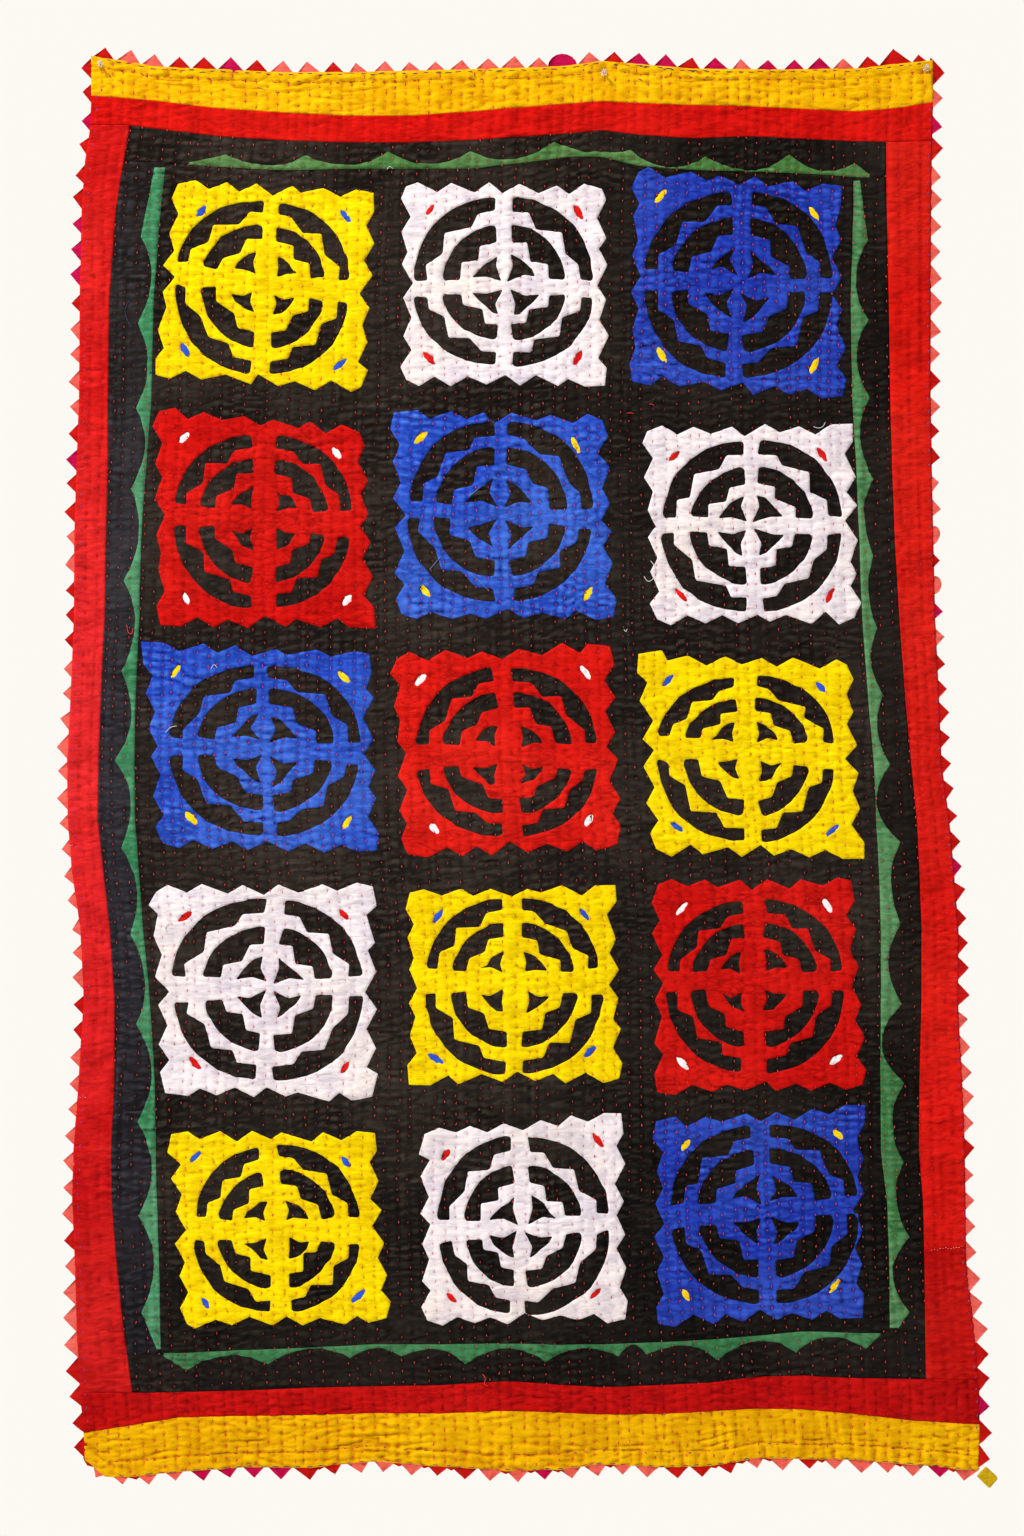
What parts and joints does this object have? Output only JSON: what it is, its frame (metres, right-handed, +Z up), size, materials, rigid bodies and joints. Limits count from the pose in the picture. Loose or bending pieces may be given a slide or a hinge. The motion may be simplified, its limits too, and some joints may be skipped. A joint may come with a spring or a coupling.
{
  "type": "ralli quilt with push pins",
  "caption": "Cotton ralli quilt with cutwork applique squares on black, red borders, yellow end bands and a pointed edging, pinned up by its top edge.",
  "frame": {"origin": "middle of the quilt's top edge, at the back of the cloth, where it is pinned up", "axes": "+Z up along the quilt's length, +X to the right across it seen from the front, and the patterned face looks along -Y"},
  "size_m": [1.415, 0.0362, 2.161],
  "materials": {
    "black_cotton": "matt plain-weave cotton, soft from washing, quilted",
    "red_cotton": "matt plain-weave cotton, slightly faded",
    "golden_cotton": "matt plain-weave cotton with puckers at the stitches",
    "yellow_cotton": "matt plain-weave cotton",
    "white_cotton": "matt plain-weave cotton with a faint pink cast",
    "blue_cotton": "matt plain-weave cotton",
    "green_cotton": "matt plain-weave cotton, slightly uneven dye",
    "edging_cotton": "thin crisp cotton, folded into triangles in red, coral and magenta",
    "olive_cotton": "matt cotton",
    "clear_plastic": "clear moulded plastic head on a bright steel needle"
  },
  "bodies": {
    "root": {"quilted_ground": "black_cotton", "black_border_top": "black_cotton", "black_border_right": "black_cotton", "black_border_left": "black_cotton", "black_border_bottom": "black_cotton", "green_points_top": "green_cotton", "green_points_bottom": "green_cotton", "green_points_left": "green_cotton", "green_points_right": "green_cotton", "red_strip_top": "red_cotton", "red_strip_bottom": "red_cotton", "red_strip_left": "red_cotton", "red_strip_right": "red_cotton", "yellow_band_top": "golden_cotton", "yellow_band_bottom": "golden_cotton", "points_top": "edging_cotton", "points_right": "edging_cotton", "points_bottom": "edging_cotton", "points_left": "edging_cotton", "cutwork_r1c1": "yellow_cotton", "cutwork_r1c2": "white_cotton", "cutwork_r1c3": "blue_cotton", "cutwork_r2c1": "red_cotton", "cutwork_r2c2": "blue_cotton", "cutwork_r2c3": "white_cotton", "cutwork_r3c1": "blue_cotton", "cutwork_r3c2": "red_cotton", "cutwork_r3c3": "yellow_cotton", "cutwork_r4c1": "white_cotton", "cutwork_r4c2": "yellow_cotton", "cutwork_r4c3": "red_cotton", "cutwork_r5c1": "yellow_cotton", "cutwork_r5c2": "white_cotton", "cutwork_r5c3": "blue_cotton", "corner_tab": "olive_cotton", "push_pin_left": "clear_plastic", "push_pin_middle": "clear_plastic", "push_pin_right": "clear_plastic"}
  },
  "joints": []
}
